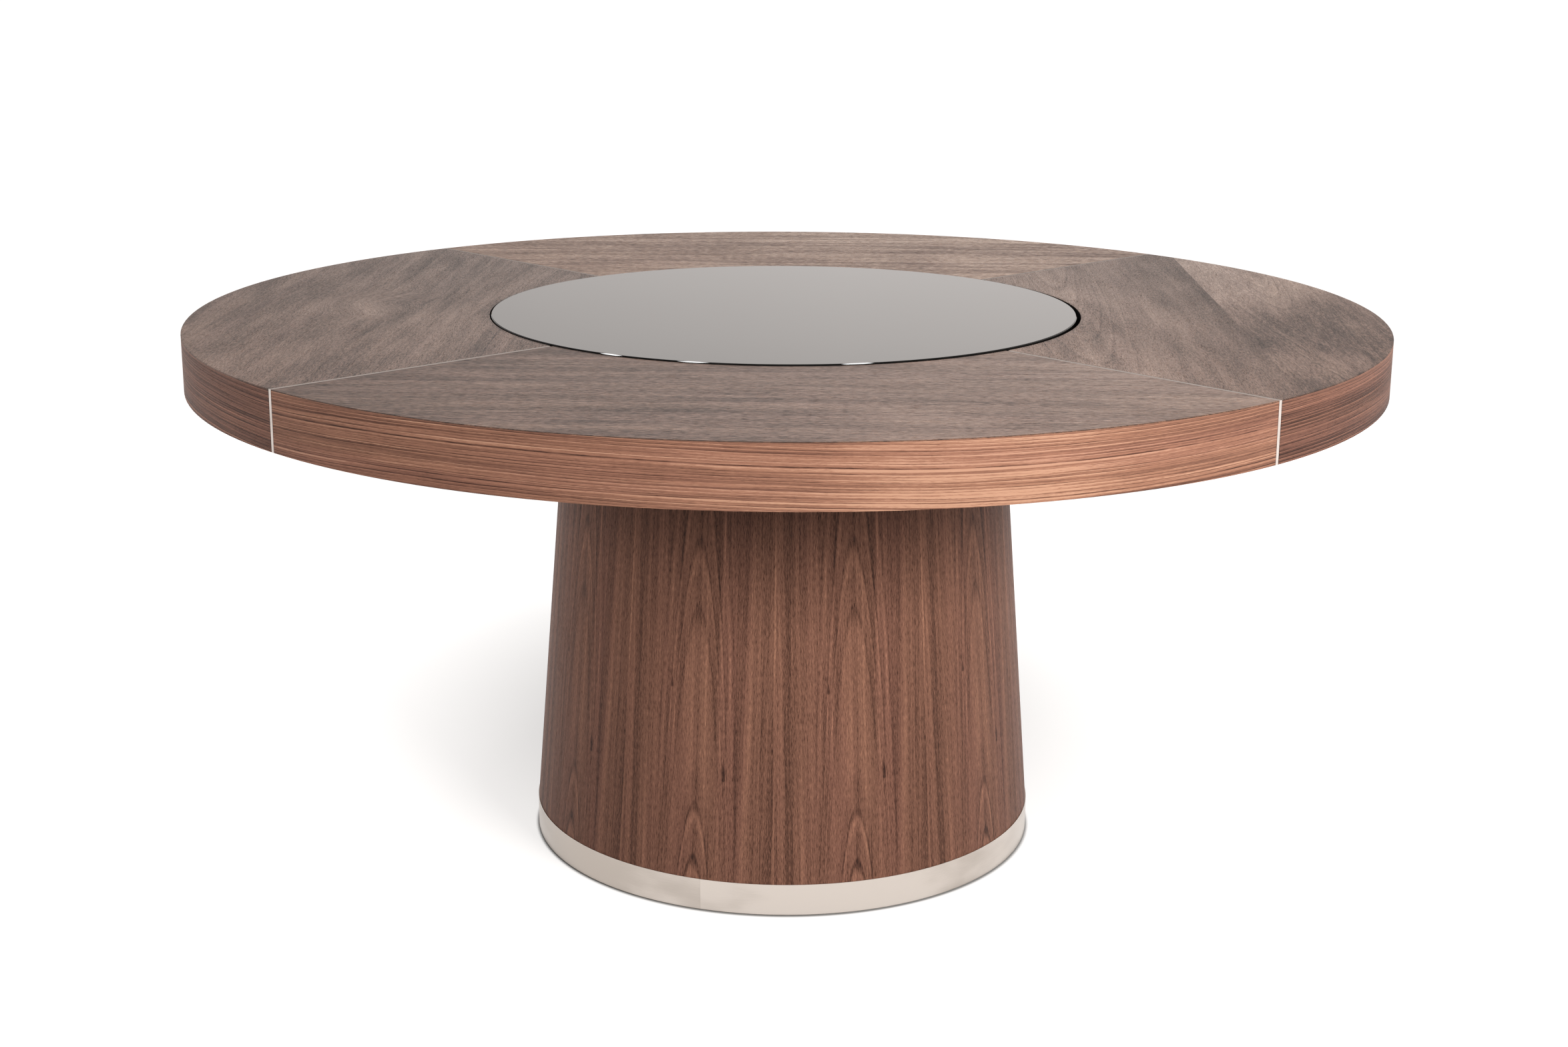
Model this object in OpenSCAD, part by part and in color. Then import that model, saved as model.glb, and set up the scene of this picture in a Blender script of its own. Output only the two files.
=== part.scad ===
// Round dining table: a walnut veneered top of four leaves with a glass turntable let into it,
// on a tapered veneered pedestal with a satin steel plinth ring.
// Frame: millimetres, +Z up, origin on the floor at the centre of the pedestal, front towards -Y.

/* [Table top] */
// Diameter of the top
top_d = 1650; // [1500:10:1800]
// Height of the veneered surface above the floor
table_h = 757; // [730:1:770]
// Height of the apron round the edge of the top
apron_h = 76; // [74:1:84]
// Thickness of the curved apron bands
apron_t = 3; // [2:0.5:4]
// Thickness of the face veneer that laps over the apron and the liner
veneer_t = 1; // [0.6:0.1:1.5]
// Thickness of the veneered leaves
leaf_t = 18; // [16:1:20]
// Thickness of the panel that closes the underside
skin_t = 10; // [8:1:10]
// Radial width of the built-up rim behind the apron
rim_w = 32; // [28:1:60]

/* [Inlay strips] */
// Width of the groove between two leaves
groove_w = 5.4; // [5:0.2:7]
// Width of the steel strip set in that groove
inlay_w = 4.8; // [3.5:0.1:4.8]
// Depth of the strip behind the face of the apron
inlay_leg = 12; // [8:1:20]

/* [Turntable] */
// Diameter of the round well in the top
well_d = 825; // [800:5:840]
// Thickness of the black liner round the well
liner_t = 3; // [2:0.5:4]
// Thickness of the floor of the well
well_floor_t = 18; // [16:1:18]
// Gap between the turning glass and the edge of the well
glass_gap = 4; // [4:0.5:8]
// How far the glass is bonded off the turning axis, towards the left
glass_off = 2; // [0:0.5:2.5]
// Thickness of the glass
glass_t = 10; // [8:1:10]
// How far the glass stands above the veneer
glass_proud = 1.5; // [1:0.5:5]
// Width of the small ground edge on the glass
glass_arris = 1.2; // [0.4:0.1:1.2]
// Diameter of the plate that carries the glass
carrier_d = 760; // [600:10:770]
// Thickness of that plate
carrier_t = 16; // [16:1:18]

/* [Turntable bearing] */
// Pitch diameter of the ball circle
ball_pcd = 400; // [300:10:500]
// Diameter of one ball
ball_d = 6; // [5:0.5:6]
// Number of balls
ball_count = 24; // [12:2:36]
// Radial width of each bearing ring
race_w = 28; // [22:1:34]
// Height of each bearing ring
race_h = 10.5; // [10:0.1:10.5]

/* [Pedestal] */
// Outer diameter of the shell where it meets the top
shell_d_top = 614; // [580:2:640]
// Outer diameter of the shell where it meets the plinth
shell_d_foot = 718; // [700:2:740]
// Thickness of the bent shell halves
shell_t = 12; // [10:1:14]
// Thickness of the two crossed panels
panel_t = 18; // [16:1:20]
// Thickness of the plate at the head of the pedestal
head_plate_t = 25; // [22:1:30]
// Height above the floor of the underside of the middle former
former_z = 330; // [200:10:450]

/* [Plinth] */
// Height of the top edge of the steel ring above the floor
plinth_h = 45; // [40:1:60]
// How far the steel ring stands out beyond the shell
plinth_proud = 1; // [0:0.5:3]
// Wall of the steel ring
plinth_wall = 2; // [1.5:0.5:3]
// Gap between the steel ring and the floor
floor_gap = 2; // [1:0.5:4]
// Height of the glides, which lift the wooden base off the floor
glide_h = 6; // [5:1:8]
// Number of glides
glide_count = 8; // [4:4:12]
// Thickness of the ring-shaped plate at the foot of the pedestal
foot_plate_t = 24; // [20:1:28]
// Thickness of the cover under that plate
cover_t = 4; // [3:1:6]
// Thickness of the steel ballast plates
ballast_t = 25; // [10:1:30]

/* [Fixings] */
// Diameter of the circle of bolts between the pedestal and the top
bolt_pcd = 460; // [400:10:500]
// Diameter of the bolt shank
bolt_d = 8; // [6:1:10]
// Number of screws that hold the underside panel to the rim
skin_screw_count = 16; // [8:8:24]

/* [Hidden] */
$fn = 160;
fit = 0.1;          // glue line between a curved face and the piece inside it
cut = 1;            // how far a cutting solid runs past the face it opens
bite = 0.05;        // room round a screw or a dowel in the piece that holds it
slack = 0.1;        // room round a screw in the piece that it passes through
top_r = top_d / 2;
top_under = table_h - apron_h;
core_low = top_under + skin_t;
core_high = table_h - leaf_t;
rim_r = top_r - apron_t;
well_r = well_d / 2;
liner_r = well_r + liner_t;
well_ring_w = 25;
well_ring_r = liner_r + well_ring_w;
arris = 0.4;        // eased edge round the outside of the veneer
leaves = 4;
seam_start = 45;
leaf_angle = 360 / leaves;
seam_rib_w = 60;
mid_rib_w = 18;
skin_screw_l = 30;

glass_z = table_h + glass_proud - glass_t;
pad_h = 2;
pad_r = 10;
pad_count = 8;
pad_circle = carrier_d / 2 - 40;
carrier_z = glass_z - pad_h - carrier_t;
race_gap = 1.5;                              // clear height over one ring and under the other
well_floor_top = carrier_z - race_h - race_gap;
well_floor_low = well_floor_top - well_floor_t;
ball_r = ball_d / 2;
ball_circle = ball_pcd / 2;
ball_z = (well_floor_top + carrier_z) / 2;
groove_r = ball_r + 0.08;
race_slit = 1.5;                             // half the clear width between the two rings
cage_t = 1.6;
cage_h = 8.2;
pocket_r = ball_r + 0.1;                     // hole for one ball in the cage
race_screw_count = 8;
race_screw_l = 23;

bolt_count = 8;
bolt_hole_d = bolt_d + 1;
insert_r = 6;
insert_h = 16;
insert_end = 0.5;                            // left open past the end of an insert
washer_r = 12;
washer_hole_r = bolt_d / 2 + 0.4;
washer_t = 1.6;
bolt_head_h = 8;
bolt_head_r = 6.5;
socket_r = 3.46;                             // to the corners of the hexagon
socket_h = 5;
bolt_reach = 14;                             // how far a bolt runs into its insert

head_low = top_under - head_plate_t;
shell_lean = (shell_d_foot - shell_d_top) / 2 / (top_under - plinth_h);
shell_seam_angle = 162;
plinth_r = shell_d_foot / 2 + plinth_proud;
plinth_core_r = plinth_r - plinth_wall;
plinth_core_w = 23;
foot_r = plinth_core_r - plinth_core_w - 2 * fit;
foot_top = glide_h + foot_plate_t;
foot_hole_r = 215;
cover_r = 235;
cover_gap = 0.5;                             // round the cover in its recess
cover_screw_count = 8;
cover_screw_l = 20;
cover_screw_r = 1.75;
cover_screw_head_r = 3.5;
glide_circle = 300;
glide_r = 15;
glide_edge = 1.5;
glide_pin_r = 2;
glide_pin_l = 14;
former_t = 18;
former_in_r = 250;
panel_clear = 1.2;
spline_t = 4;
spline_w = 16;
dowel_r = 4;
dowel_l = 40;
head_dowels = [-240, -120, 120, 240];
foot_dowels = [-310, -245, 245, 310];
ballast_in_r = 240;
ballast_out_r = foot_r - 5;
ballast_gap = 12;                            // from the middle of a panel to the ballast beside it
ballast_screw_circle = 265;
ballast_screw_reach = 18;
ballast_screw_r = 3;
ballast_screw_head_r = 6;
ballast_screw_count = 8;

SIDES = ["back", "left", "front", "right"];
CORNERS = ["back_right", "back_left", "front_left", "front_right"];

// Outer and inner radius of the tapered shell at height z.
function shell_r(z) = shell_d_top / 2 + shell_lean * (top_under - z);
function shell_in(z) = shell_r(z) - shell_t;

// ---------------------------------------------------------------- shared shapes

module around(count, start = 0) {
    for (i = [0 : count - 1]) rotate(start + i * 360 / count) children();
}

module ring(r_in, r_out, z_low, z_high) {
    rotate_extrude() translate([r_in, z_low]) square([r_out - r_in, z_high - z_low]);
}

// A straight slot along one seam, as wide as the groove between two leaves.
module seam_slot(corner, r_from = 0) {
    rotate(seam_start + corner * leaf_angle)
        translate([r_from, -groove_w / 2, top_under - cut])
            cube([top_r + cut - r_from, groove_w, apron_h + 2 * cut]);
}

// The stretch of a turned profile between two seams, less half a groove at each end.
module between_seams(side) {
    difference() {
        rotate(seam_start + side * leaf_angle) rotate_extrude(angle = leaf_angle) children();
        seam_slot(side);
        seam_slot((side + 1) % leaves);
    }
}

// A countersunk wood screw, head face at the origin, point towards +Z.
module wood_screw(length, r = 2, head_r = 4, grow = 0) {
    cylinder(h = head_r - r, r1 = head_r + grow, r2 = r + grow);
    cylinder(h = length + grow, r = r + grow);
}

// ---------------------------------------------------------------- table top

module leaf(side) {
    color("#8a6a58") between_seams(side) polygon([
        [well_r, table_h], [top_r - arris, table_h], [top_r, table_h - arris],
        [top_r, table_h - veneer_t],
        [rim_r - fit, table_h - veneer_t], [rim_r - fit, core_high],
        [liner_r + fit, core_high], [liner_r + fit, table_h - veneer_t],
        [well_r, table_h - veneer_t]
    ]);
}

module apron(side) {
    color("#9c6246") between_seams(side)
        translate([rim_r, top_under]) square([apron_t, apron_h - veneer_t]);
}

module rim(side) {
    color("#b89b74") difference() {
        between_seams(side)
            translate([rim_r - rim_w, core_low]) square([rim_w - fit, core_high - core_low]);
        skin_screw_places() wood_screw(skin_screw_l, grow = bite);
    }
}

module inlay(corner) {
    color("#d9d2c8") rotate(seam_start + corner * leaf_angle) intersection() {
        translate([0, inlay_w / 2, 0]) rotate([90, 0, 0]) linear_extrude(inlay_w) polygon([
            [well_r - cut, table_h], [top_r + cut, table_h], [top_r + cut, top_under],
            [top_r - inlay_leg, top_under], [top_r - inlay_leg, core_high],
            [well_r - cut, core_high]
        ]);
        ring(liner_r + fit, top_r, top_under, table_h);
    }
}

module rib(angle, width) {
    color("#b89b74") rotate(angle) intersection() {
        translate([0, -width / 2, core_low]) cube([top_r, width, core_high - core_low]);
        ring(well_ring_r + fit, rim_r - rim_w - fit, core_low, core_high);
    }
}

module skin_screw_places() {
    around(skin_screw_count, 180 / skin_screw_count)
        translate([rim_r - rim_w / 2, 0, top_under]) children();
}

module underside_panel() {
    color("#7d5a45") difference() {
        translate([0, 0, top_under]) cylinder(h = skin_t, r = rim_r - fit);
        for (corner = [0 : leaves - 1]) seam_slot(corner, top_r - inlay_leg - fit);
        skin_screw_places() wood_screw(skin_screw_l, grow = slack);
        bolt_places() translate([0, 0, top_under - cut])
            cylinder(h = skin_t + 2 * cut, d = bolt_hole_d);
    }
}

module underside_screws() {
    color("#c9c4b8") skin_screw_places() wood_screw(skin_screw_l);
}

module hub_block() {
    color("#b89b74") difference() {
        translate([0, 0, core_low]) cylinder(h = well_floor_low - core_low, r = well_ring_r);
        insert_holes();
    }
}

module well_floor() {
    color("#1b1a19") difference() {
        translate([0, 0, well_floor_low]) cylinder(h = well_floor_t, r = well_ring_r);
        insert_holes();
        fixed_screw_places() wood_screw(race_screw_l, grow = bite);
    }
}

module well_ring() {
    color("#b89b74") ring(liner_r + fit, well_ring_r, well_floor_top, core_high);
}

module well_liner() {
    color("#151413") ring(well_r, liner_r, well_floor_top, table_h - veneer_t);
}

// ---------------------------------------------------------------- turntable

module ball_groove() {
    rotate_extrude() translate([ball_circle, ball_z]) circle(groove_r);
}

module fixed_screw_places() {
    around(race_screw_count) translate([ball_circle + race_slit + race_w / 2, 0,
        well_floor_top + race_h]) mirror([0, 0, 1]) children();
}

module turning_screw_places() {
    around(race_screw_count) translate([ball_circle - race_slit - race_w / 2, 0,
        carrier_z - race_h]) children();
}

module bearing_fixed_ring() {
    color("#b9bcc0") difference() {
        ring(ball_circle + race_slit, ball_circle + race_slit + race_w,
            well_floor_top, well_floor_top + race_h);
        ball_groove();
        fixed_screw_places() wood_screw(race_screw_l, grow = slack);
    }
}

module bearing_turning_ring() {
    color("#b9bcc0") difference() {
        ring(ball_circle - race_slit - race_w, ball_circle - race_slit,
            carrier_z - race_h, carrier_z);
        ball_groove();
        turning_screw_places() wood_screw(race_screw_l, grow = slack);
    }
}

module bearing_balls() {
    color("#e4e6e8") around(ball_count) translate([ball_circle, 0, ball_z]) sphere(r = ball_r);
}

module bearing_ball_cage() {
    color("#f0ede4") difference() {
        ring(ball_circle - cage_t / 2, ball_circle + cage_t / 2,
            ball_z - cage_h / 2, ball_z + cage_h / 2);
        around(ball_count) translate([ball_circle - cage_t, 0, ball_z])
            rotate([0, 90, 0]) cylinder(h = 2 * cage_t, r = pocket_r);
    }
}

module fixed_ring_screws() {
    color("#c9c4b8") fixed_screw_places() wood_screw(race_screw_l);
}

module turning_ring_screws() {
    color("#c9c4b8") turning_screw_places() wood_screw(race_screw_l);
}

module turntable_carrier() {
    color("#1b1a19") difference() {
        translate([0, 0, carrier_z]) cylinder(h = carrier_t, d = carrier_d);
        turning_screw_places() wood_screw(race_screw_l, grow = bite);
    }
}

module glass_pads() {
    color("#dfe3e2") around(pad_count, 180 / pad_count)
        translate([pad_circle, 0, glass_z - pad_h]) cylinder(h = pad_h, r = pad_r);
}

module turntable_glass() {
    r = well_r - glass_gap;
    color("#2b2a2a") translate([-glass_off, 0, 0]) rotate_extrude() polygon([
        [0, glass_z], [r - glass_arris, glass_z], [r, glass_z + glass_arris],
        [r, glass_z + glass_t - glass_arris], [r - glass_arris, glass_z + glass_t],
        [0, glass_z + glass_t]
    ]);
}

// ---------------------------------------------------------------- pedestal

module pedestal_head_plate() {
    color("#b89b74") difference() {
        rotate_extrude() polygon([
            [0, head_low], [shell_in(head_low) - 2 * fit, head_low],
            [shell_in(top_under) - 2 * fit, top_under], [0, top_under]
        ]);
        bolt_places() translate([0, 0, head_low - cut])
            cylinder(h = head_plate_t + 2 * cut, d = bolt_hole_d);
        head_dowel_places() dowel(grow = bite);
    }
}

// One strip in each joint between the shell halves, half of it let into each.
module spline(angle, grow = 0) {
    z_low = plinth_h;
    z_high = top_under;
    half = spline_t / 2 + grow;
    rotate(angle) translate([0, spline_w / 2 + grow, 0]) rotate([90, 0, 0])
        linear_extrude(spline_w + 2 * grow) polygon([
            [shell_r(z_low) - shell_t / 2 - half, z_low],
            [shell_r(z_low) - shell_t / 2 + half, z_low],
            [shell_r(z_high) - shell_t / 2 + half, z_high],
            [shell_r(z_high) - shell_t / 2 - half, z_high]
        ]);
}

module shell_half(start) {
    color("#6f4a38") difference() {
        rotate(start) rotate_extrude(angle = 180) polygon([
            [shell_r(plinth_h), plinth_h], [shell_r(top_under), top_under],
            [shell_in(top_under), top_under], [shell_in(plinth_h), plinth_h]
        ]);
        spline(start, grow = fit);
        spline(start + 180, grow = fit);
    }
}

module shell_spline(angle) {
    color("#c9ab7c") spline(angle);
}

// The outline that both crossed panels share, in its own plane.
module panel_outline() {
    polygon([
        [-foot_r + panel_clear, foot_top], [foot_r - panel_clear, foot_top],
        [foot_r - panel_clear, plinth_h], [shell_in(plinth_h) - panel_clear, plinth_h],
        [shell_in(head_low) - panel_clear, head_low], [-shell_in(head_low) + panel_clear, head_low],
        [-shell_in(plinth_h) + panel_clear, plinth_h], [-foot_r + panel_clear, plinth_h]
    ]);
}

module cross_panel(angle, slot_low, slot_high) {
    half_t = panel_t / 2;
    color("#c9ab7c") difference() {
        rotate(angle) translate([0, half_t, 0]) rotate([90, 0, 0])
            linear_extrude(panel_t) panel_outline();
        translate([-half_t - fit, -half_t - fit, slot_low])
            cube([panel_t + 2 * fit, panel_t + 2 * fit, slot_high - slot_low]);
        head_dowel_places() dowel(grow = bite);
        foot_dowel_places() dowel(grow = bite);
    }
}

module middle_former() {
    top = former_z + former_t;
    gap = panel_t + 2 * fit;
    color("#b89b74") difference() {
        rotate_extrude() polygon([
            [former_in_r, former_z], [shell_in(former_z) - 3 * fit, former_z],
            [shell_in(top) - 3 * fit, top], [former_in_r, top]
        ]);
        for (angle = [0, 90]) rotate(angle) translate([-plinth_r, -gap / 2, former_z - cut])
            cube([2 * plinth_r, gap, former_t + 2 * cut]);
    }
}

module dowel(grow = 0) {
    translate([0, 0, -dowel_l / 2 - grow]) cylinder(h = dowel_l + 2 * grow, r = dowel_r + grow);
}

// Four dowels along each crossed panel, where it meets the plate above it.
module head_dowel_places() {
    for (angle = [0, 90], x = head_dowels) rotate(angle) translate([x, 0, head_low]) children();
}

// Four dowels along each crossed panel, where it stands on the foot plate.
module foot_dowel_places() {
    for (angle = [0, 90], x = foot_dowels) rotate(angle) translate([x, 0, foot_top]) children();
}

module panel_dowels() {
    color("#d8bf94") {
        head_dowel_places() dowel();
        foot_dowel_places() dowel();
    }
}

// ---------------------------------------------------------------- foot and plinth

module cover_screw_places() {
    around(cover_screw_count, 180 / cover_screw_count)
        translate([(foot_hole_r + cover_r) / 2, 0, glide_h]) children();
}

module cover_screw(grow = 0) {
    wood_screw(cover_screw_l, cover_screw_r, cover_screw_head_r, grow);
}

module glide_places() {
    around(glide_count, 180 / glide_count) translate([glide_circle, 0, 0]) children();
}

module foot_plate() {
    color("#b89b74") difference() {
        ring(foot_hole_r, foot_r, glide_h, foot_top);
        translate([0, 0, glide_h - cut]) cylinder(h = cover_t + cut, r = cover_r + cover_gap);
        cover_screw_places() cover_screw(grow = bite);
        glide_places() cylinder(h = glide_h + glide_pin_l + slack, r = glide_pin_r + bite);
        foot_dowel_places() dowel(grow = bite);
        ballast_screw_places() ballast_screw(grow = bite);
    }
}

// Countersunk from above, two to each ballast plate.
module ballast_screw_places() {
    around(ballast_screw_count, 180 / ballast_screw_count)
        translate([ballast_screw_circle, 0, foot_top + ballast_t]) mirror([0, 0, 1]) children();
}

module ballast_screw(grow = 0) {
    wood_screw(ballast_t + ballast_screw_reach, ballast_screw_r, ballast_screw_head_r, grow);
}

module ballast_plates() {
    color("#4a4c4f") difference() {
        ring(ballast_in_r, ballast_out_r, foot_top, foot_top + ballast_t);
        for (angle = [0, 90]) rotate(angle) translate([-plinth_r, -ballast_gap, foot_top - cut])
            cube([2 * plinth_r, 2 * ballast_gap, ballast_t + 2 * cut]);
        ballast_screw_places() ballast_screw(grow = slack);
    }
}

module ballast_screws() {
    color("#c9c4b8") ballast_screw_places() ballast_screw();
}

module foot_cover() {
    color("#6b4f3c") difference() {
        translate([0, 0, glide_h]) cylinder(h = cover_t, r = cover_r);
        cover_screw_places() cover_screw(grow = slack);
    }
}

module foot_cover_screws() {
    color("#c9c4b8") cover_screw_places() cover_screw();
}

module floor_glides() {
    color("#26262a") glide_places() {
        rotate_extrude() polygon([
            [0, 0], [glide_r - glide_edge, 0], [glide_r, glide_edge], [glide_r, glide_h], [0, glide_h]
        ]);
        cylinder(h = glide_h + glide_pin_l, r = glide_pin_r);
    }
}

module plinth_core() {
    color("#b89b74")
        ring(plinth_core_r - plinth_core_w, plinth_core_r - fit, glide_h, plinth_h);
}

module plinth_ring() {
    color("#cfc8bf") ring(plinth_core_r, plinth_r, floor_gap, plinth_h);
}

// ---------------------------------------------------------------- joint between pedestal and top

module bolt_places() {
    around(bolt_count, 180 / bolt_count) translate([bolt_pcd / 2, 0, 0]) children();
}

module insert_holes() {
    bolt_places() translate([0, 0, core_low - cut])
        cylinder(h = insert_h + insert_end + cut, r = insert_r + bite);
}

module mount_bolts() {
    head_top = head_low - washer_t;
    color("#3a3b3d") bolt_places() difference() {
        union() {
            translate([0, 0, head_top - bolt_head_h]) cylinder(h = bolt_head_h, r = bolt_head_r);
            translate([0, 0, head_top]) cylinder(h = core_low + bolt_reach - head_top, d = bolt_d);
        }
        translate([0, 0, head_top - bolt_head_h - cut])
            cylinder(h = socket_h + cut, r = socket_r, $fn = 6);
    }
}

module mount_washers() {
    color("#c9c4b8") bolt_places()
        ring(washer_hole_r, washer_r, head_low - washer_t, head_low);
}

module threaded_inserts() {
    color("#b8954f") bolt_places()
        ring(bolt_d / 2 + bite, insert_r, core_low, core_low + insert_h);
}

// ---------------------------------------------------------------- what is drawn

for (i = [0 : leaves - 1]) {
    leaf(i);
    apron(i);
    rim(i);
    inlay(i);
    rib(seam_start + i * leaf_angle, seam_rib_w);
    rib(seam_start + (i + 0.5) * leaf_angle, mid_rib_w);
}
underside_panel();
underside_screws();
hub_block();
well_floor();
well_ring();
well_liner();
bearing_fixed_ring();
bearing_turning_ring();
bearing_balls();
bearing_ball_cage();
fixed_ring_screws();
turning_ring_screws();
turntable_carrier();
glass_pads();
turntable_glass();
pedestal_head_plate();
shell_half(shell_seam_angle);  // shell_front
shell_half(shell_seam_angle + 180);  // shell_back
shell_spline(shell_seam_angle);  // shell_spline_left
shell_spline(shell_seam_angle + 180);  // shell_spline_right
cross_panel(0, (foot_top + head_low) / 2, head_low + cut);  // cross_panel_wide
cross_panel(90, foot_top - cut, (foot_top + head_low) / 2);  // cross_panel_deep
middle_former();
panel_dowels();
foot_plate();
foot_cover();
foot_cover_screws();
ballast_plates();
ballast_screws();
floor_glides();
plinth_core();
plinth_ring();
mount_bolts();
mount_washers();
threaded_inserts();
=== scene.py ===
"""Looks of the round walnut dining table. Every CAD part stays where it is and gets its real finish."""
import math

import bpy
from mathutils import Matrix, Vector


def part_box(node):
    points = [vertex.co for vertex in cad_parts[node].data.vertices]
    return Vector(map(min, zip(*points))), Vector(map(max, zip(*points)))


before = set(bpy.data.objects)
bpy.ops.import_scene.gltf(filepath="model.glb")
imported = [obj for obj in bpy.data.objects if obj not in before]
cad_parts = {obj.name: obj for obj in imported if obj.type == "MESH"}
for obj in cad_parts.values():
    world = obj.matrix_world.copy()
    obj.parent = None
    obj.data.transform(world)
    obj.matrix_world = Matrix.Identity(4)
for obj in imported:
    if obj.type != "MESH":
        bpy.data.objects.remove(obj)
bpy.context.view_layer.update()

# ------------------------------------------------------------------ sizes, in metres and radians

TOP_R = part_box("apron_right")[1].x
TOP_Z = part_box("leaf_front")[1].z
APRON_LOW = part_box("apron_front")[0].z
WELL_R = -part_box("well_liner")[0].x
PLINTH_R = -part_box("plinth_ring")[0].x

MM = 0.001
QUARTER_TURN = math.pi / 2
LEAF_SEAM = math.radians(45)            # the seam between the right leaf and the back one
INLAY_HALF_W = 2.4 * MM
SHELL_SEAM = math.radians(162)          # one of the joints between the pedestal's veneers
SHELL_SHEET = 2 * math.pi / 10          # how far round the pedestal one veneer goes
WELD = math.radians(-106)               # where the plinth's band is welded


# ------------------------------------------------------------------ a small writer for materials

class Field:
    """A number that varies over a surface. Arithmetic on it adds nodes to its material."""

    def __init__(self, look, socket):
        self.look = look
        self.socket = socket

    def __add__(self, other):
        return self.look.math("ADD", self, other)

    def __sub__(self, other):
        return self.look.math("SUBTRACT", self, other)

    def __rsub__(self, other):
        return self.look.math("SUBTRACT", other, self)

    def __mul__(self, other):
        return self.look.math("MULTIPLY", self, other)

    def __truediv__(self, other):
        return self.look.math("DIVIDE", self, other)

    __radd__ = __add__
    __rmul__ = __mul__

    def apply(self, operation, other=0.0):
        return self.look.math(operation, self, other)

    def fract(self):
        return self.apply("FRACT")

    def floor(self):
        return self.apply("FLOOR")

    def size(self):
        return self.apply("ABSOLUTE")

    def step(self, low, high, start=0.0, end=1.0):
        """Rises smoothly from start, where this is at low, to end, where it is at high."""
        node = self.look.nodes.new("ShaderNodeMapRange")
        node.interpolation_type = "SMOOTHSTEP"
        for name, value in (("From Min", low), ("From Max", high), ("To Min", start), ("To Max", end)):
            node.inputs[name].default_value = value
        self.look.feed(node.inputs["Value"], self)
        return Field(self.look, node.outputs["Result"])


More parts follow.
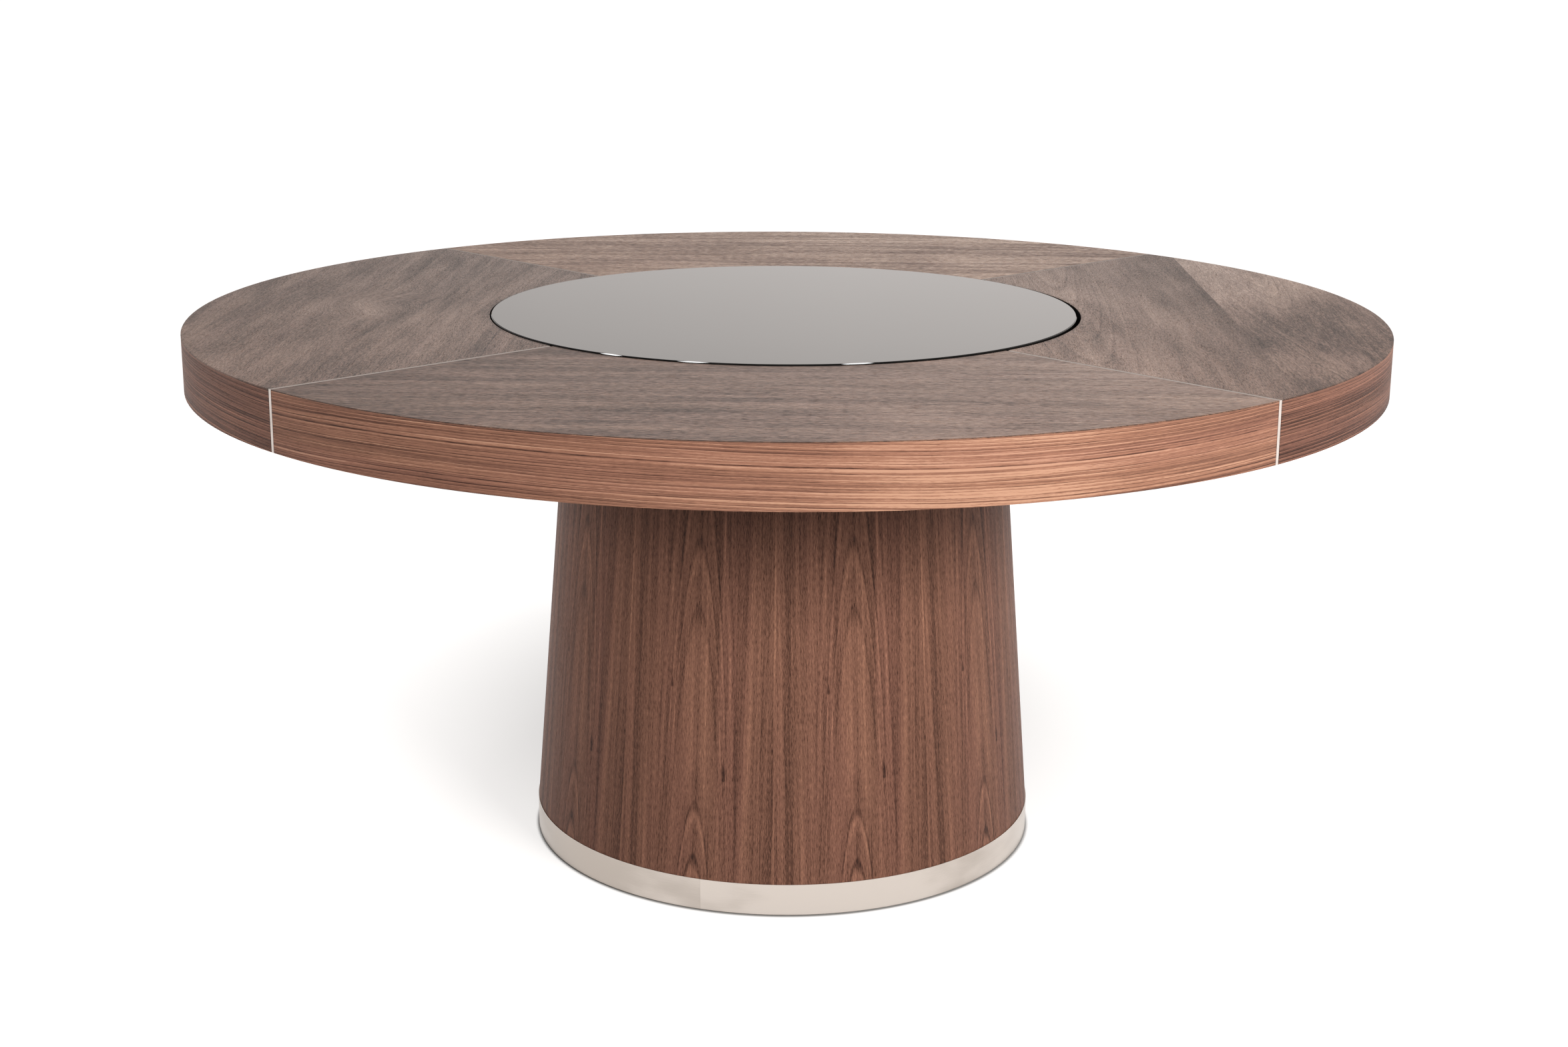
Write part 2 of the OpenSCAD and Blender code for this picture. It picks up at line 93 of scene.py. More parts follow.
class Look:
    """One material: a Principled shader fed by expressions in the frame's x, y and z, in metres."""

    def __init__(self, name, **settings):
        self.material = bpy.data.materials.new(name)
        self.material.use_nodes = True
        self.nodes = self.material.node_tree.nodes
        self.links = self.material.node_tree.links
        self.nodes.clear()
        self.shader = self.nodes.new("ShaderNodeBsdfPrincipled")
        output = self.nodes.new("ShaderNodeOutputMaterial")
        self.links.new(self.shader.outputs["BSDF"], output.inputs["Surface"])
        place = self.nodes.new("ShaderNodeTexCoord").outputs["Object"]
        split = self.nodes.new("ShaderNodeSeparateXYZ")
        self.links.new(place, split.inputs[0])
        self.x, self.y, self.z = (Field(self, s) for s in split.outputs)
        for socket, value in settings.items():
            self.shader.inputs[socket.replace("_", " ")].default_value = value

    def feed(self, socket, value):
        if isinstance(value, Field):
            self.links.new(value.socket, socket)
        elif isinstance(value, bpy.types.NodeSocket):
            self.links.new(value, socket)
        else:
            socket.default_value = value

    def math(self, operation, *values):
        node = self.nodes.new("ShaderNodeMath")
        node.operation = operation
        for socket, value in zip(node.inputs, values):
            self.feed(socket, value)
        return Field(self, node.outputs[0])

    def noise(self, x, y, z=0.0, detail=2.0, roughness=0.5):
        """Smooth noise about 0.5, one lump to a unit of x, y and z."""
        place = self.nodes.new("ShaderNodeCombineXYZ")
        for socket, value in zip(place.inputs, (x, y, z)):
            self.feed(socket, value)
        node = self.nodes.new("ShaderNodeTexNoise")
        node.inputs["Scale"].default_value = 1.0
        node.inputs["Detail"].default_value = detail
        node.inputs["Roughness"].default_value = roughness
        self.links.new(place.outputs[0], node.inputs["Vector"])
        return Field(self, node.outputs["Fac"])

    def speckle(self, scale, detail=2.0, roughness=0.5):
        """Smooth noise with scale lumps to a metre in every direction."""
        return self.noise(self.x * scale, self.y * scale, self.z * scale, detail, roughness)

    def chance(self, value):
        """A fixed random number from 0 to 1 for each value."""
        node = self.nodes.new("ShaderNodeTexWhiteNoise")
        node.noise_dimensions = "1D"
        self.feed(node.inputs["W"], value)
        return Field(self, node.outputs["Value"])

    def levelness(self):
        """1 on level faces, 0 on upright ones."""
        split = self.nodes.new("ShaderNodeSeparateXYZ")
        self.links.new(self.nodes.new("ShaderNodeNewGeometry").outputs["Normal"], split.inputs[0])
        return Field(self, split.outputs[2]).size()

    def around(self, start):
        """Angle round Z from start, from -pi to pi, so that its jump lies opposite start."""
        cos, sin = math.cos(start), math.sin(start)
        along = self.x * cos + self.y * sin
        aside = self.y * cos - self.x * sin
        return self.math("ARCTAN2", aside, along)

    def radius(self):
        return (self.x * self.x + self.y * self.y).apply("SQRT")

    def ramp(self, value, stops):
        """The colour for a value from 0 to 1, eased between stops of place and colour."""
        node = self.nodes.new("ShaderNodeValToRGB")
        node.color_ramp.interpolation = "EASE"
        ramp = node.color_ramp.elements
        while len(ramp) < len(stops):
            ramp.new(0.5)
        for element, (position, colour) in zip(ramp, stops):
            element.position = position
            element.color = (*colour, 1.0)
        self.feed(node.inputs["Fac"], value)
        return node.outputs["Color"]

    def mix(self, factor, colour, tint, blend="MIX"):
        """Blends a tint, given as three numbers, into a colour."""
        node = self.nodes.new("ShaderNodeMix")
        node.data_type = "RGBA"
        node.blend_type = blend
        sockets = [s for s in node.inputs if s.enabled]
        for socket, value in zip(sockets, (factor, colour, (*tint, 1.0))):
            self.feed(socket, value)
        return [s for s in node.outputs if s.enabled][0]

    def finish(self, colour, roughness, height=None, depth=0.0):
        """Feeds the shader and returns the material. A height of 1 looks depth metres proud."""
        self.feed(self.shader.inputs["Base Color"], colour)
        self.feed(self.shader.inputs["Roughness"], roughness)
        if height is not None:
            bump = self.nodes.new("ShaderNodeBump")
            bump.inputs["Strength"].default_value = 1.0
            bump.inputs["Distance"].default_value = depth
            self.feed(bump.inputs["Height"], height)
            self.links.new(bump.outputs[0], self.shader.inputs["Normal"])
        return self.material


# ------------------------------------------------------------------ walnut

WALNUT = [
    (0.00, (0.030, 0.0142, 0.0107)),
    (0.20, (0.084, 0.0389, 0.0268)),
    (0.45, (0.178, 0.0856, 0.0589)),
    (0.60, (0.243, 0.1187, 0.0800)),
    (0.78, (0.338, 0.1690, 0.1110)),
    (1.00, (0.520, 0.2950, 0.2000)),
]
# The top has faded in the light, so it is yellower
FADED = [(place, (red * 1.02, green * 1.075, blue * 0.955)) for place, (red, green, blue) in WALNUT]

# Shifts between the noises of one sheet, so that none of them repeats another
FLAMES = 5.9
BANDS = 6.4
LINES = 6.8
DASHES = 2.9
FLECK = 1.9
HAIR = 2.2
RIPPLE = 3.7
WAVER = 8.1
UNEVEN = 1.3
BROKEN = 5.5
CROWD = 7.3
PORES = 9.5
PLUM = 4.6


class Veneer:
    """A sheet of sawn walnut, with its own place along and across the grain, in metres. Nearly equal layers
    give nearly equal sheets, as they lay in the log."""

    def __init__(self, look, along, across, layer, wander):
        """wander is how far the grain drifts sideways, in metres."""
        self.look = look
        self.along = along
        self.layer = layer
        self.parts = []
        drift = look.noise(along * 1.6, across * 4.0, layer) - 0.5
        ripple = look.noise(along * 14.0, across * 40.0, layer + RIPPLE, detail=1.0) - 0.5
        self.side = across + drift * wander + ripple * (1.2 * MM)

    def stripes(self, shift, amount, width, length, detail=2.0, roughness=0.5):
        """Tone that changes over width metres across the grain and length metres along it."""
        tone = self.look.noise(self.along / length, self.side / width, self.layer + shift, detail, roughness)
        self.parts.append((tone - 0.5) * amount)
        return tone

    def rings(self, pith, ring, rise, late, early, reach=None):
        """Growth rings: circles about a pith that lies pith metres under the sheet, and deeper by rise for
        each metre along the grain. They show as arches over the pith and as straight lines beside it, and
        fade from about reach metres beside it. late darkens the end of each ring, and early lightens its
        middle."""
        look = self.look
        waver = look.noise(self.along * 2.4, self.layer + WAVER, detail=1.0) - 0.5
        depth = self.along * rise + pith + waver * (10 * MM)
        distance = (self.side * self.side + depth * depth).apply("SQRT")
        uneven = look.noise(distance * 55.0, self.layer + UNEVEN, detail=1.0) * 3.0
        phase = distance / ring + uneven
        turn = phase.fract()
        broken = look.noise(self.along * 24.0, self.side * 70.0, self.layer + BROKEN)
        strength = look.chance(phase.floor() + 0.5) * 0.7 + 0.3
        if reach is not None:
            strength = strength * self.side.size().step(reach * 0.5, reach * 1.4, 1.0, 0.25)
        dark = turn.step(0.74, 0.88) * (1.0 - turn.step(0.90, 0.99)) * strength
        dark = dark * broken.step(0.35, 0.62, 0.35, 1.15)
        light = turn.step(0.35, 0.64) * (1.0 - turn.step(0.66, 0.80)) * strength
        self.parts.append(light * early - dark * late)

    def pores(self, amount):
        """Open pores: short dark dashes along the grain, closer together in some places than in others."""
        look = self.look
        crowd = look.noise(self.along * 9.0, self.side * 30.0, self.layer + CROWD, detail=1.0) * 0.10 - 0.05
        pore = look.noise(self.along * 150.0, self.side * 1250.0, self.layer + PORES, detail=1.0) + crowd
        pore = pore.step(0.585, 0.675)
        self.parts.append(pore * -amount)
        return pore

    def finish(self, tone, roughness, *extra, plum=0.35, palette=WALNUT, dulling=0.0, pores=0.14):
        """Adds the figure and the extra tones to a middle tone, which picks the colour from the palette.
        plum tints it in streaks, and dulling makes the darker wood rougher than the lighter."""
        look = self.look
        hair = self.stripes(HAIR, 0.10, 0.7 * MM, 30 * MM)
        pore = self.pores(pores)
        value = tone
        for part in self.parts + list(extra):
            value = part + value
        streak = look.noise(self.along * 1.3, self.side * 26.0, self.layer + PLUM)
        plummy = streak.step(0.42, 0.72, 0.0, plum)
        colour = look.mix(plummy, look.ramp(value, palette), (0.90, 0.83, 0.93), "MULTIPLY")
        rough = pore * 0.16 + hair * 0.10 + (tone - value) * dulling + roughness
        return look.finish(colour, rough, hair * 0.4 - pore * 0.5, 0.12 * MM)


def seam_shadow(look):
    """Painted shade of the narrow groove beside the inlay strips, which run where x and y are equal or
    opposite.
    """
    off = (look.x.size() - look.y.size()).size() * math.sqrt(0.5)
    return off.step(INLAY_HALF_W, INLAY_HALF_W + 1.8 * MM, -0.22, 0.0)


def leaf_edges(look):
    """Shade of the cut edges: the face seen from the side, the outer arris and the edge at the well."""
    edge = look.levelness().step(0.2, 0.8, -0.28, 0.0)
    rim = look.radius().step(TOP_R - 3 * MM, TOP_R - 0.3 * MM, 0.0, -0.05)
    well = look.radius().step(WELL_R, WELL_R + 2 * MM, -0.08, 0.0)
    return edge + rim + well + seam_shadow(look)


def line(across, at, width, amount):
    """Adds amount at one place and fades to nothing at width from it."""
    return (across - at).size().step(width * 0.3, width, amount, 0.0)


def knot(across, along, knot_across, knot_along, width):
    """Darkening round a pin knot, with a long tail up the grain."""
    aside = (across - knot_across) / width
    above = (along - knot_along).apply("MAXIMUM", 0.0) / (width * 8.0)
    below = (along - knot_along).apply("MINIMUM", 0.0) / width
    return (aside * aside + above * above + below * below).step(0.0, 1.0, -0.34, 0.0)


def leaf_look(side):
    return Look("walnut_leaf_" + side, Specular_IOR_Level=0.65)


def leaf_finish(sheet, tone, *extra):
    return sheet.finish(tone, 0.33, leaf_edges(sheet.look), *extra, palette=FADED, dulling=0.30)


def walnut_leaf_across(side, layer, tone, pith, slope, bold):
    """Front or back quarter of the top: straight grain from left to right. slope lightens it towards the
    right, and bold is the strength of its figure."""
    look = leaf_look(side)
    sheet = Veneer(look, along=look.x, across=look.y, layer=layer, wander=20 * MM)
    sheet.stripes(FLAMES, 0.62 * bold, 30 * MM, 0.70, detail=3.0, roughness=0.6)
    sheet.stripes(LINES, 0.58 * bold, 6 * MM, 0.12, detail=3.0, roughness=0.6)
    sheet.stripes(BANDS, 0.38 * bold, 60 * MM, 0.16)
    sheet.stripes(FLECK, 1.15 * bold, 1.2 * MM, 9 * MM)
    sheet.stripes(DASHES, 0.78 * bold, 3.5 * MM, 14 * MM)
    sheet.rings(pith, ring=9 * MM, rise=0.03, late=0.08, early=0.04)
    return leaf_finish(sheet, tone, look.x * slope)


def walnut_leaf_left():
    """Left quarter: grain that runs away from the viewer, with soft flames and one swirl round a knot."""
    look = leaf_look("left")
    knot_x, knot_y = -0.59, 0.01
    aside, away = look.x - knot_x, look.y - knot_y
    swirl = (aside * aside * 2.2 + away * away).apply("SQRT").step(0.0, 0.15, 1.0, 0.0)
    across = look.x + swirl * look.math("SINE", look.y * 14.0 + 0.6) * (46 * MM)
    sheet = Veneer(look, along=look.y, across=across, layer=42.0, wander=70 * MM)
    sheet.stripes(FLAMES, 0.50, 70 * MM, 0.30)
    sheet.stripes(BANDS, 0.55, 14 * MM, 0.14, detail=3.0, roughness=0.6)
    sheet.stripes(FLECK, 0.98, 1.5 * MM, 11 * MM)
    sheet.rings(pith=0.10, ring=10 * MM, rise=0.10, late=0.12, early=0.05)
    return leaf_finish(sheet, 0.345, swirl * 0.06)


def walnut_leaf_right():
    """Right quarter: two sheets side by side, the outer one lighter and figured with arches."""
    look = leaf_look("right")
    joint_x, inner_pith_x, outer_pith_x = 0.618, 0.40, 0.71
    from_joint = look.x - joint_x
    outer = from_joint.apply("GREATER_THAN", 0.0)
    across = look.x - inner_pith_x - outer * (outer_pith_x - inner_pith_x)
    sheet = Veneer(look, along=look.y, across=across, layer=outer * 7.7 + 63.0, wander=34 * MM)
    sheet.stripes(FLAMES, 0.55, 70 * MM, 0.30)
    sheet.stripes(BANDS, 0.48, 14 * MM, 0.16, detail=3.0, roughness=0.6)
    sheet.stripes(FLECK, 0.98, 1.5 * MM, 11 * MM)
    sheet.rings(pith=0.05, ring=8 * MM, rise=-0.06, late=0.15, early=0.08, reach=90 * MM)
    shade = from_joint.step(-0.16, 0.0, 0.0, -0.19) * (1.0 - outer)
    glow = outer * (look.y - from_joint * 0.8).step(-0.12, 0.16, -0.20, 0.20)
    patch = (look.y + 0.36).size().step(0.02, 0.14, 0.12, 0.0) * outer
    return leaf_finish(sheet, 0.47, shade, glow, patch)


def walnut_apron():
    """Edge band: dark even lines along the rim, each quarter from its own sheet, with painted shade beside
    the inlay strips. The front one has painted shade towards its ends, most at the left, and a painted
    highlight right of its middle; the right one has a painted highlight along its top."""
    look = Look("walnut_apron", Specular_IOR_Level=0.18)
    angle = look.around(LEAF_SEAM)
    band = (angle / QUARTER_TURN).floor()

    def only_on(number):
        """1 on one quarter's band and 0 on the others. They count anticlockwise from the back one, 0."""
        return (band - number).size().step(0.0, 0.5, 1.0, 0.0)

    front, right, left = only_on(-2.0), only_on(-1.0), only_on(1.0)
    along = angle * TOP_R
    height = look.z - APRON_LOW
    sweep = look.noise(along * 1.3, band * 3.1, detail=1.0) * (34 * MM)
    sheet = Veneer(look, along, across=height + sweep + 0.22, layer=band * 5.3, wander=5 * MM)
    sheet.stripes(FLAMES, 0.65, 12 * MM, 0.60)
    sheet.stripes(BANDS, 1.25, 2.2 * MM, 0.30, detail=3.0, roughness=0.6)
    sheet.stripes(FLECK, 0.35, 0.9 * MM, 9 * MM)
    sheet.rings(pith=0.04, ring=3.8 * MM, rise=0.008, late=0.60, early=0.28)
    from_seam = angle - band * QUARTER_TURN
    to_seam = from_seam.apply("MINIMUM", QUARTER_TURN - from_seam) * TOP_R
    # Painted shade in the narrow groove beside each inlay strip.
    seam_shade = to_seam.step(INLAY_HALF_W, INLAY_HALF_W + 2 * MM, -0.20, 0.0)
    # Painted highlight along the top of the right quarter's band.
    rim_highlight = height.step(60 * MM, 64 * MM) * right * 0.22
    # Front quarter: painted shade, darker towards the left end and a little at the right end, and a painted
    # highlight right of the middle.
    fade = look.x.step(-0.60, 0.05, -0.13, -0.03) + look.x.step(0.38, 0.55, 0.0, -0.03)
    glow = line(look.x, 0.23, 0.20, 0.20)
    return sheet.finish(0.71, 0.50, seam_shade, rim_highlight, front * (fade + glow), right * -0.36, left * -0.34,
                        plum=0.4, pores=0.07)


def walnut_shell():
    """Pedestal: ten upright sheets from one log laid side by side, so their figure repeats round it."""
    look = Look("walnut_shell", Specular_IOR_Level=0.18)
    turn = look.around(SHELL_SEAM) / SHELL_SHEET
    number = turn.floor()
    sheet_w = look.radius() * SHELL_SHEET
    across = (turn - number - 0.5) * sheet_w
    sheet = Veneer(look, along=look.z, across=across, layer=number * 0.05, wander=7 * MM)
    sheet.stripes(FLAMES, 0.70, 20 * MM, 1.3)
    sheet.stripes(BANDS, 0.60, 2.8 * MM, 0.3, detail=3.0, roughness=0.65)
    sheet.stripes(FLECK, 0.90, 0.9 * MM, 8 * MM)
    sheet.rings(pith=30 * MM, ring=6.5 * MM, rise=0.050, late=0.27, early=0.20, reach=46 * MM)
    to_joint = (1.0 - turn + number) * sheet_w
    extras = [line(to_joint, 0.0, 3.4 * MM, 0.26), line(to_joint, 12 * MM, 10 * MM, -0.09)]
    for at, width, amount in ((-90 * MM, 9 * MM, -0.07), (-74 * MM, 3 * MM, 0.10), (33 * MM, 3.5 * MM, 0.12)):
        extras.append(line(sheet.side, at, width, amount))
    for at, height, width in ((39 * MM, 0.185, 3.6 * MM), (-36 * MM, 0.305, 2.2 * MM)):
        extras.append(knot(sheet.side, look.z, at, height, width))
    # Painted shade: darker towards the foot, and darker from about halfway up towards the table top, under
    # its overhang.
    shade_under_top_and_at_foot = look.z.step(0.05, 0.40, -0.04, 0.0) + look.z.step(0.42, 0.55, 0.0, -0.06)
    return sheet.finish(0.44, 0.50, shade_under_top_and_at_foot, *extras, pores=0.16)


# ------------------------------------------------------------------ boards inside

def fibreboard(name, colour, dark):
    look = Look(name, Specular_IOR_Level=0.3)
    fleck = look.speckle(900.0, detail=3.0, roughness=0.7)
    tone = fleck * 0.7 + look.speckle(14.0) * 0.3
    tint = look.ramp(tone, [(0.32, dark), (0.68, colour)])
    return look.finish(tint, fleck * 0.2 + 0.68, fleck, 0.1 * MM)


def plywood(name):
    """Plies bent round the pedestal's axis, light and dark by turns."""
    look = Look(name, Specular_IOR_Level=0.35)
    radius = look.radius()
    ply_t = 1.5 * MM
    ply = (radius / ply_t).floor()
    figure = look.noise(look.z * 6.0, (look.x + look.y) * 220.0, ply, detail=3.0, roughness=0.6)
    dark = (radius / (2 * ply_t)).fract().step(0.46, 0.54)
    tint = look.ramp(figure + dark * 0.06, [(0.3, (0.46, 0.32, 0.19)), (0.7, (0.70, 0.55, 0.37))])
    return look.finish(tint, figure * 0.2 + 0.5, figure, 0.08 * MM)


def lacquer(name, colour, pale, roughness):
    look = Look(name, Specular_IOR_Level=0.5)
    peel = look.speckle(320.0)
    haze = look.speckle(12.0)
    tint = look.ramp(haze, [(0.35, colour), (0.65, pale)])
    return look.finish(tint, haze * 0.10 + roughness, peel, 0.02 * MM)


def turned_wood(name):
    """Upright grain, as in the dowels."""
    look = Look(name, Specular_IOR_Level=0.35)
    grain = look.noise(look.x * 700.0, look.y * 700.0, look.z * 30.0, detail=3.0, roughness=0.6)
    tint = look.ramp(grain, [(0.3, (0.50, 0.33, 0.19)), (0.7, (0.74, 0.56, 0.37))])
    return look.finish(tint, grain * 0.2 + 0.5, grain, 0.05 * MM)


# ------------------------------------------------------------------ metals

def brushed_ring(name, colour, worn, roughness, weld_and_painted_reflections=0.0):
    """Metal brushed along the way round, uneven from rolling. The last argument sets a tone step and a darker
    line at the weld; it also paints shading that changes steadily round the band from the weld, a painted
    bright reflection a little after the weld and a painted dark reflection a little before it."""
    look = Look(name, Metallic=1.0)
    angle = look.around(WELD + math.pi)
    radius = look.radius()
    along = angle * radius
    after_weld = (math.pi + angle) * radius
    before_weld = (math.pi - angle) * radius
    bead = ((math.pi - angle.size()) * radius).step(0.2 * MM, 1.2 * MM, 4.0, 0.0)
    # Painted reflections: a bright stretch a little after the weld and a dark one a little before it.
    painted_reflections = line(after_weld, 0.20, 0.17, 11.0) - line(before_weld, 0.24, 0.17, 10.0)
    hair = look.noise(along * 45.0, look.z * 2600.0, radius * 2600.0, detail=3.0, roughness=0.65)
    broad = look.noise(along * 2.0, look.z * 9.0)
    cloud = look.noise(along * 11.0, look.z * 26.0, radius) - 0.5
    # Tone from brushing and rolling, a step and a darker line at the weld, painted shading that changes
    # steadily round the band, and the painted reflections.
    tone = broad * 0.65 + hair * 0.35 + cloud * 0.7 - (angle + bead - painted_reflections) * weld_and_painted_reflections
    tint = look.ramp(tone, [(0.3, worn), (0.7, colour)])
    return look.finish(tint, hair * 0.14 + broad * 0.10 + roughness, hair, 0.02 * MM)


def plated(name, colour, dull, roughness, grain=1400.0):
    look = Look(name, Metallic=1.0)
    crystal = look.speckle(grain)
    cloud = look.speckle(60.0)
    tint = look.ramp(cloud * 0.6 + crystal * 0.4, [(0.3, dull), (0.7, colour)])
    return look.finish(tint, crystal * 0.12 + cloud * 0.12 + roughness, crystal, 0.02 * MM)


def inlay_metal(name):
    """Fine matte strip, drawn along its length, which is towards or away from the middle of the table. Its
    top face is painted darker than its sides, most at the back, as shade for how the light falls on it."""
    look = Look(name, Metallic=0.6, Specular_IOR_Level=0.5)
    off_seam = look.x.size() - look.y.size()
    draw = look.noise(look.radius() * 25.0, off_seam * 2400.0, look.z * 40.0)
    tint = look.ramp(draw, [(0.3, (0.70, 0.62, 0.57)), (0.7, (0.84, 0.77, 0.73))])
    # Painted shade: the strips' top faces darker than their sides, most towards the back.
    top_face_shade = look.levelness().step(0.3, 0.7, 0.0, 1.0) * look.y.step(-0.3, 0.3, 0.50, 0.72)
    tint = look.mix(top_face_shade, tint, (0.34, 0.27, 0.24))
    return look.finish(tint, draw * 0.12 + 0.46, draw, 0.02 * MM)


# ------------------------------------------------------------------ plastics and glass

def moulded(name, colour, pale, roughness):
    look = Look(name, Specular_IOR_Level=0.5)
    skin = look.speckle(1100.0)
    flow = look.noise(look.x * 30.0, look.y * 30.0, look.z * 90.0)
    tint = look.ramp(flow * 0.7 + skin * 0.3, [(0.35, colour), (0.65, pale)])
    return look.finish(tint, skin * 0.15 + roughness, skin, 0.03 * MM)


def smoked_glass(name):
    look = Look(name, IOR=1.52, Specular_IOR_Level=0.5)
    smear = look.noise(look.x * 5.0, look.y * 9.0, look.z, detail=3.0)
    tint = look.ramp(smear, [(0.3, (0.0050, 0.0046, 0.0043)), (0.7, (0.0065, 0.0060, 0.0056))])
    return look.finish(tint, smear * 0.03 + 0.012)


# ------------------------------------------------------------------ finishes on the CAD nodes

def paint(material, *names):
    for name in names:
        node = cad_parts[name]
        node.data.materials.clear()
        node.data.materials.append(material)


def named(prefix):
    return [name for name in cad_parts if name.startswith(prefix)]


def paint_outside():
    front = walnut_leaf_across("front", layer=0.0, tone=0.38, pith=0.34, slope=0.24, bold=0.9)
    back = walnut_leaf_across("back", layer=21.0, tone=0.69, pith=-0.30, slope=0.03, bold=1.45)
    paint(front, "leaf_front")
    paint(back, "leaf_back")
    paint(walnut_leaf_left(), "leaf_left")
    paint(walnut_leaf_right(), "leaf_right")
    paint(walnut_apron(), *named("apron_"))
    paint(walnut_shell(), "shell_front", "shell_back")
    paint(inlay_metal("inlay_strip"), *named("inlay_"))
    # The plinth's band gets painted reflections and painted shading round it, besides the step at its weld.
    plinth = brushed_ring("plinth_satin", colour=(0.650, 0.588, 0.536), worn=(0.49, 0.436, 0.39),
                          roughness=0.20, weld_and_painted_reflections=0.020)
    paint(plinth, "plinth_ring")
    paint(smoked_glass("smoked_glass"), "turntable_glass")


def paint_boards():
    core = fibreboard("core_board", colour=(0.58, 0.44, 0.30), dark=(0.40, 0.28, 0.18))
    stained = lacquer("stained_panel", colour=(0.085, 0.045, 0.030), pale=(0.115, 0.064, 0.043),
                      roughness=0.45)
    black = lacquer("black_lacquer", colour=(0.006, 0.006, 0.006), pale=(0.011, 0.010, 0.010),
                    roughness=0.50)
    paint(core, *named("rim_"), *named("seam_rib_"), *named("mid_rib_"), "hub_block", "well_ring",
          "pedestal_head_plate", "middle_former", "foot_plate", "plinth_core")
    paint(stained, "underside_panel", "foot_cover")
    paint(black, "well_floor", "well_liner", "turntable_carrier")
    paint(plywood("birch_ply"), "shell_spline_left", "shell_spline_right", "cross_panel_wide",
          "cross_panel_deep")
    paint(turned_wood("beech_dowel"), "panel_dowels")


def paint_metals():
    rings = brushed_ring("turned_aluminium", colour=(0.72, 0.73, 0.74), worn=(0.60, 0.61, 0.62),
                         roughness=0.22)
    balls = plated("ball_steel", colour=(0.80, 0.81, 0.83), dull=(0.74, 0.75, 0.77), roughness=0.04)
    zinc = plated("zinc_plate", colour=(0.70, 0.70, 0.65), dull=(0.56, 0.57, 0.54), roughness=0.26)
    oxide = plated("black_oxide", colour=(0.085, 0.085, 0.095), dull=(0.045, 0.045, 0.050), roughness=0.34)
    scale = plated("mill_scale", colour=(0.13, 0.135, 0.145), dull=(0.06, 0.06, 0.065), roughness=0.42,
                   grain=500.0)
    brass = plated("insert_brass", colour=(0.72, 0.54, 0.26), dull=(0.58, 0.42, 0.18), roughness=0.22)
    paint(rings, "bearing_fixed_ring", "bearing_turning_ring")
    paint(balls, "bearing_balls")
    paint(zinc, "underside_screws", "foot_cover_screws", "fixed_ring_screws", "turning_ring_screws",
          "ballast_screws", "mount_washers")
    paint(oxide, "mount_bolts")
    paint(scale, "ballast_plates")
    paint(brass, "threaded_inserts")


def paint_plastics():
    cage = moulded("cage_nylon", colour=(0.74, 0.72, 0.66), pale=(0.84, 0.82, 0.76), roughness=0.42)
    glides = moulded("glide_nylon", colour=(0.020, 0.020, 0.022), pale=(0.040, 0.040, 0.043), roughness=0.48)
    pads = moulded("bonding_pad", colour=(0.48, 0.50, 0.49), pale=(0.62, 0.64, 0.63), roughness=0.22)
    paint(cage, "bearing_ball_cage")
    paint(glides, "floor_glides")
    paint(pads, "glass_pads")


# ------------------------------------------------------------------ floor, light and camera

def floor_look():
    """Pale floor with a glow of its own that keeps it nearly white. The glow is weaker in a pool mostly
    behind the table, a painted soft shadow of the table, and there is none in a thin ring just under the
    plinth's edge, a painted contact shadow."""
    look = Look("pale_floor", Specular_IOR_Level=0.1, Emission_Color=(1.0, 0.985, 0.975, 1.0))
    shadow_x, shadow_y, shadow_r, squash = -0.06, 0.44, 0.82, 0.72
    aside, back = look.x - shadow_x, (look.y - shadow_y) * squash
    away = (aside * aside + back * back).apply("SQRT")
    # Painted shadows: no glow in a thin ring under the plinth's edge, and less glow in a pool behind the
    # table.
    plinth_contact_shade = (look.radius() - (PLINTH_R - 8 * MM)).size().step(7 * MM, 14 * MM)
    look.feed(look.shader.inputs["Emission Strength"], away.step(0.0, shadow_r, 0.41, 0.96) * plinth_contact_shade)
    grain = look.noise(look.x * 8.0, look.y * 8.0)
    return look.finish(look.ramp(grain, [(0.0, (0.34, 0.34, 0.34)), (1.0, (0.36, 0.36, 0.36))]), 0.8)


def make_floor(reach=60.0, rings=24, steps=72):
    """A level round floor, its rings closer together near the table. It throws no light back on the table."""
    vertices = [(0.0, 0.0, 0.0)]
    for ring in range(1, rings + 1):
        radius = reach * (ring / rings) ** 2
        for step in range(steps):
            angle = 2 * math.pi * step / steps
            vertices.append((radius * math.cos(angle), radius * math.sin(angle), 0.0))
    faces = [(0, 1 + step, 1 + (step + 1) % steps) for step in range(steps)]
    for ring in range(rings - 1):
        inner = 1 + ring * steps
        outer = inner + steps
        for step in range(steps):
            following = (step + 1) % steps
            faces.append((inner + step, outer + step, outer + following, inner + following))
    mesh = bpy.data.meshes.new("floor")
    mesh.from_pydata(vertices, [], faces)
    mesh.materials.append(floor_look())
    floor = bpy.data.objects.new("floor", mesh)
    floor.visible_diffuse = False
    bpy.context.scene.collection.objects.link(floor)


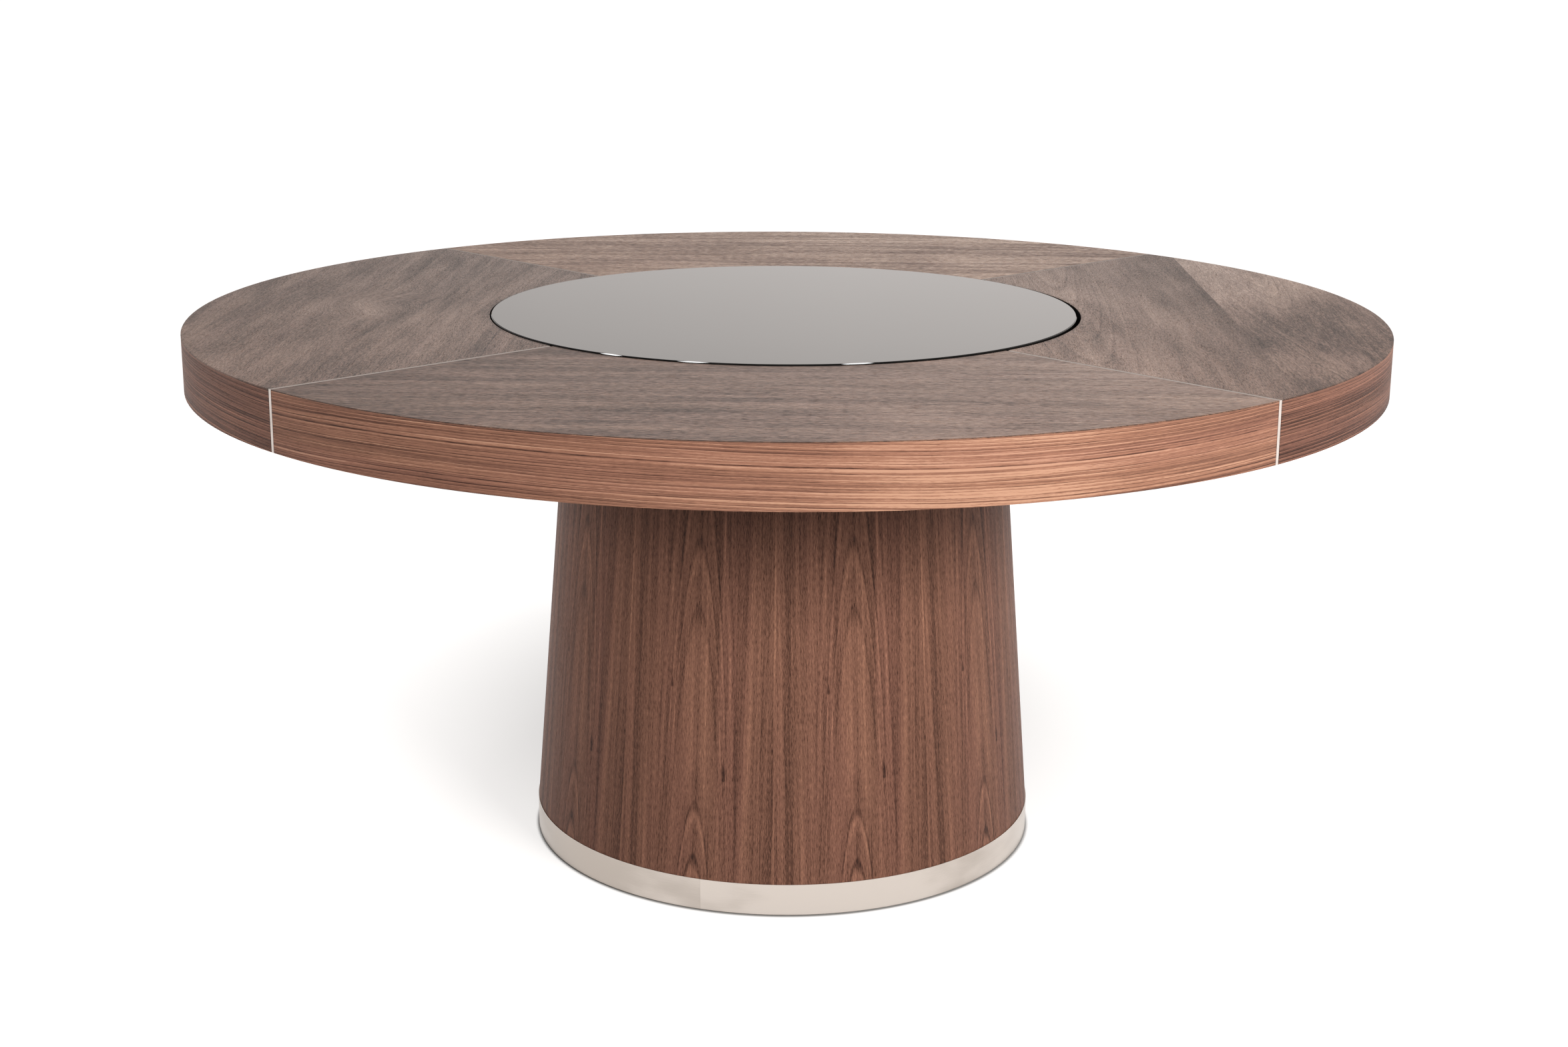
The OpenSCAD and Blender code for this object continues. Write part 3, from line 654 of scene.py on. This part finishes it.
def make_world():
    """Warm white studio, bright at the back near eye height and dim to the sides. The camera sees a plain
    pale backdrop in its place."""
    world = bpy.data.worlds.new("studio")
    bpy.context.scene.world = world
    world.use_nodes = True
    nodes, links = world.node_tree.nodes, world.node_tree.links
    nodes.clear()
    split = nodes.new("ShaderNodeSeparateXYZ")
    links.new(nodes.new("ShaderNodeTexCoord").outputs["Generated"], split.inputs[0])
    sideways, backward, upward = split.outputs

    def fade(value, stops):
        """Brightness along one direction, between stops of place, from -1 to 1, and brightness."""
        spread = nodes.new("ShaderNodeMapRange")
        spread.inputs["From Min"].default_value = -1.0
        links.new(value, spread.inputs["Value"])
        ramp = nodes.new("ShaderNodeValToRGB")
        elements = ramp.color_ramp.elements
        while len(elements) < len(stops):
            elements.new(0.5)
        for element, (place, bright) in zip(elements, stops):
            element.position = (place + 1.0) / 2.0
            element.color = (bright, bright, bright, 1.0)
        links.new(spread.outputs[0], ramp.inputs[0])
        return ramp.outputs[0]

    def times(first, second):
        node = nodes.new("ShaderNodeVectorMath")
        node.operation = "MULTIPLY"
        links.new(first, node.inputs[0])
        if isinstance(second, tuple):
            node.inputs[1].default_value = second
        else:
            links.new(second, node.inputs[1])
        return node.outputs[0]

    height = fade(upward, ((-1.0, 0.50), (-0.03, 0.50), (0.0, 1.0), (0.18, 1.0), (0.38, 0.72), (0.7, 0.52),
                           (1.0, 0.52)))
    aside = fade(sideways, ((-1.0, 0.22), (-0.5, 0.40), (-0.13, 0.88), (0.0, 1.0), (0.13, 1.05), (0.25, 0.75),
                            (1.0, 0.35)))
    behind = fade(backward, ((-1.0, 0.40), (0.0, 0.40), (0.5, 1.0), (1.0, 1.0)))
    warm = (1.10, 1.04, 1.0)
    studio = nodes.new("ShaderNodeBackground")
    links.new(times(times(times(height, aside), behind), warm), studio.inputs["Color"])
    backdrop = nodes.new("ShaderNodeBackground")
    backdrop.inputs["Color"].default_value = (1.05, 1.04, 1.03, 1.0)
    seen = nodes.new("ShaderNodeMixShader")
    output = nodes.new("ShaderNodeOutputWorld")
    links.new(nodes.new("ShaderNodeLightPath").outputs["Is Camera Ray"], seen.inputs[0])
    links.new(studio.outputs[0], seen.inputs[1])
    links.new(backdrop.outputs[0], seen.inputs[2])
    links.new(seen.outputs[0], output.inputs["Surface"])


def make_light(name, place, aim, size, watts, colour=(1.0, 1.0, 1.0), mirrored=False):
    """A rectangular lamp. One that isn't mirrored lights the table but makes no glare on it."""
    data = bpy.data.lights.new(name, "AREA")
    data.shape = "RECTANGLE"
    data.size, data.size_y = size
    data.energy = watts
    data.color = colour
    light = bpy.data.objects.new(name, data)
    light.location = place
    light.visible_glossy = mirrored
    light.rotation_euler = (Vector(aim) - Vector(place)).to_track_quat("-Z", "Y").to_euler()
    bpy.context.scene.collection.objects.link(light)


def make_lights():
    """A warm key from the front right, a weaker fill from the front left, and three small lamps overhead that
    glint in the edge of the glass."""
    make_light("key", place=(2.7, -3.6, 2.1), aim=(0.0, 0.0, 0.5), size=(1.8, 1.3), watts=252.0,
               colour=(1.0, 0.965, 0.92))
    make_light("fill", place=(-3.9, -2.4, 1.7), aim=(0.0, 0.0, 0.4), size=(1.8, 1.2), watts=82.0,
               colour=(1.0, 0.98, 0.95))
    for x, y in ((-1.95, 0.04), (-0.95, -0.67), (0.81, -0.69)):
        make_light("overhead", place=(x, y, 3.06), aim=(0.0, -0.4, TOP_Z), size=(0.3, 0.25), watts=5.3,
                   mirrored=True)


def make_camera():
    """Eye in front and a little to the right of the table's middle, looking down across it."""
    data = bpy.data.cameras.new("camera")
    data.sensor_width = 36.0
    data.lens = 51.14
    data.shift_x = 0.0223
    data.shift_y = -0.0108
    data.clip_end = 200.0
    eye = Vector((0.0852, -3.0993, 1.2819))
    yaw, pitch, roll = math.radians(2.493), math.radians(14.654), math.radians(0.119)
    ahead = Vector((-math.sin(yaw) * math.cos(pitch), math.cos(yaw) * math.cos(pitch), -math.sin(pitch)))
    level = Vector((math.cos(yaw), math.sin(yaw), 0.0))
    above = level.cross(ahead)
    right = level * math.cos(roll) + above * math.sin(roll)
    upward = above * math.cos(roll) - level * math.sin(roll)
    turn = Matrix((right, upward, -ahead)).transposed().to_4x4()
    camera = bpy.data.objects.new("camera", data)
    camera.matrix_world = Matrix.Translation(eye) @ turn
    bpy.context.scene.collection.objects.link(camera)
    bpy.context.scene.camera = camera


paint_outside()
paint_boards()
paint_metals()
paint_plastics()
make_floor()
make_world()
make_lights()
make_camera()
bpy.context.scene.view_settings.view_transform = "Standard"
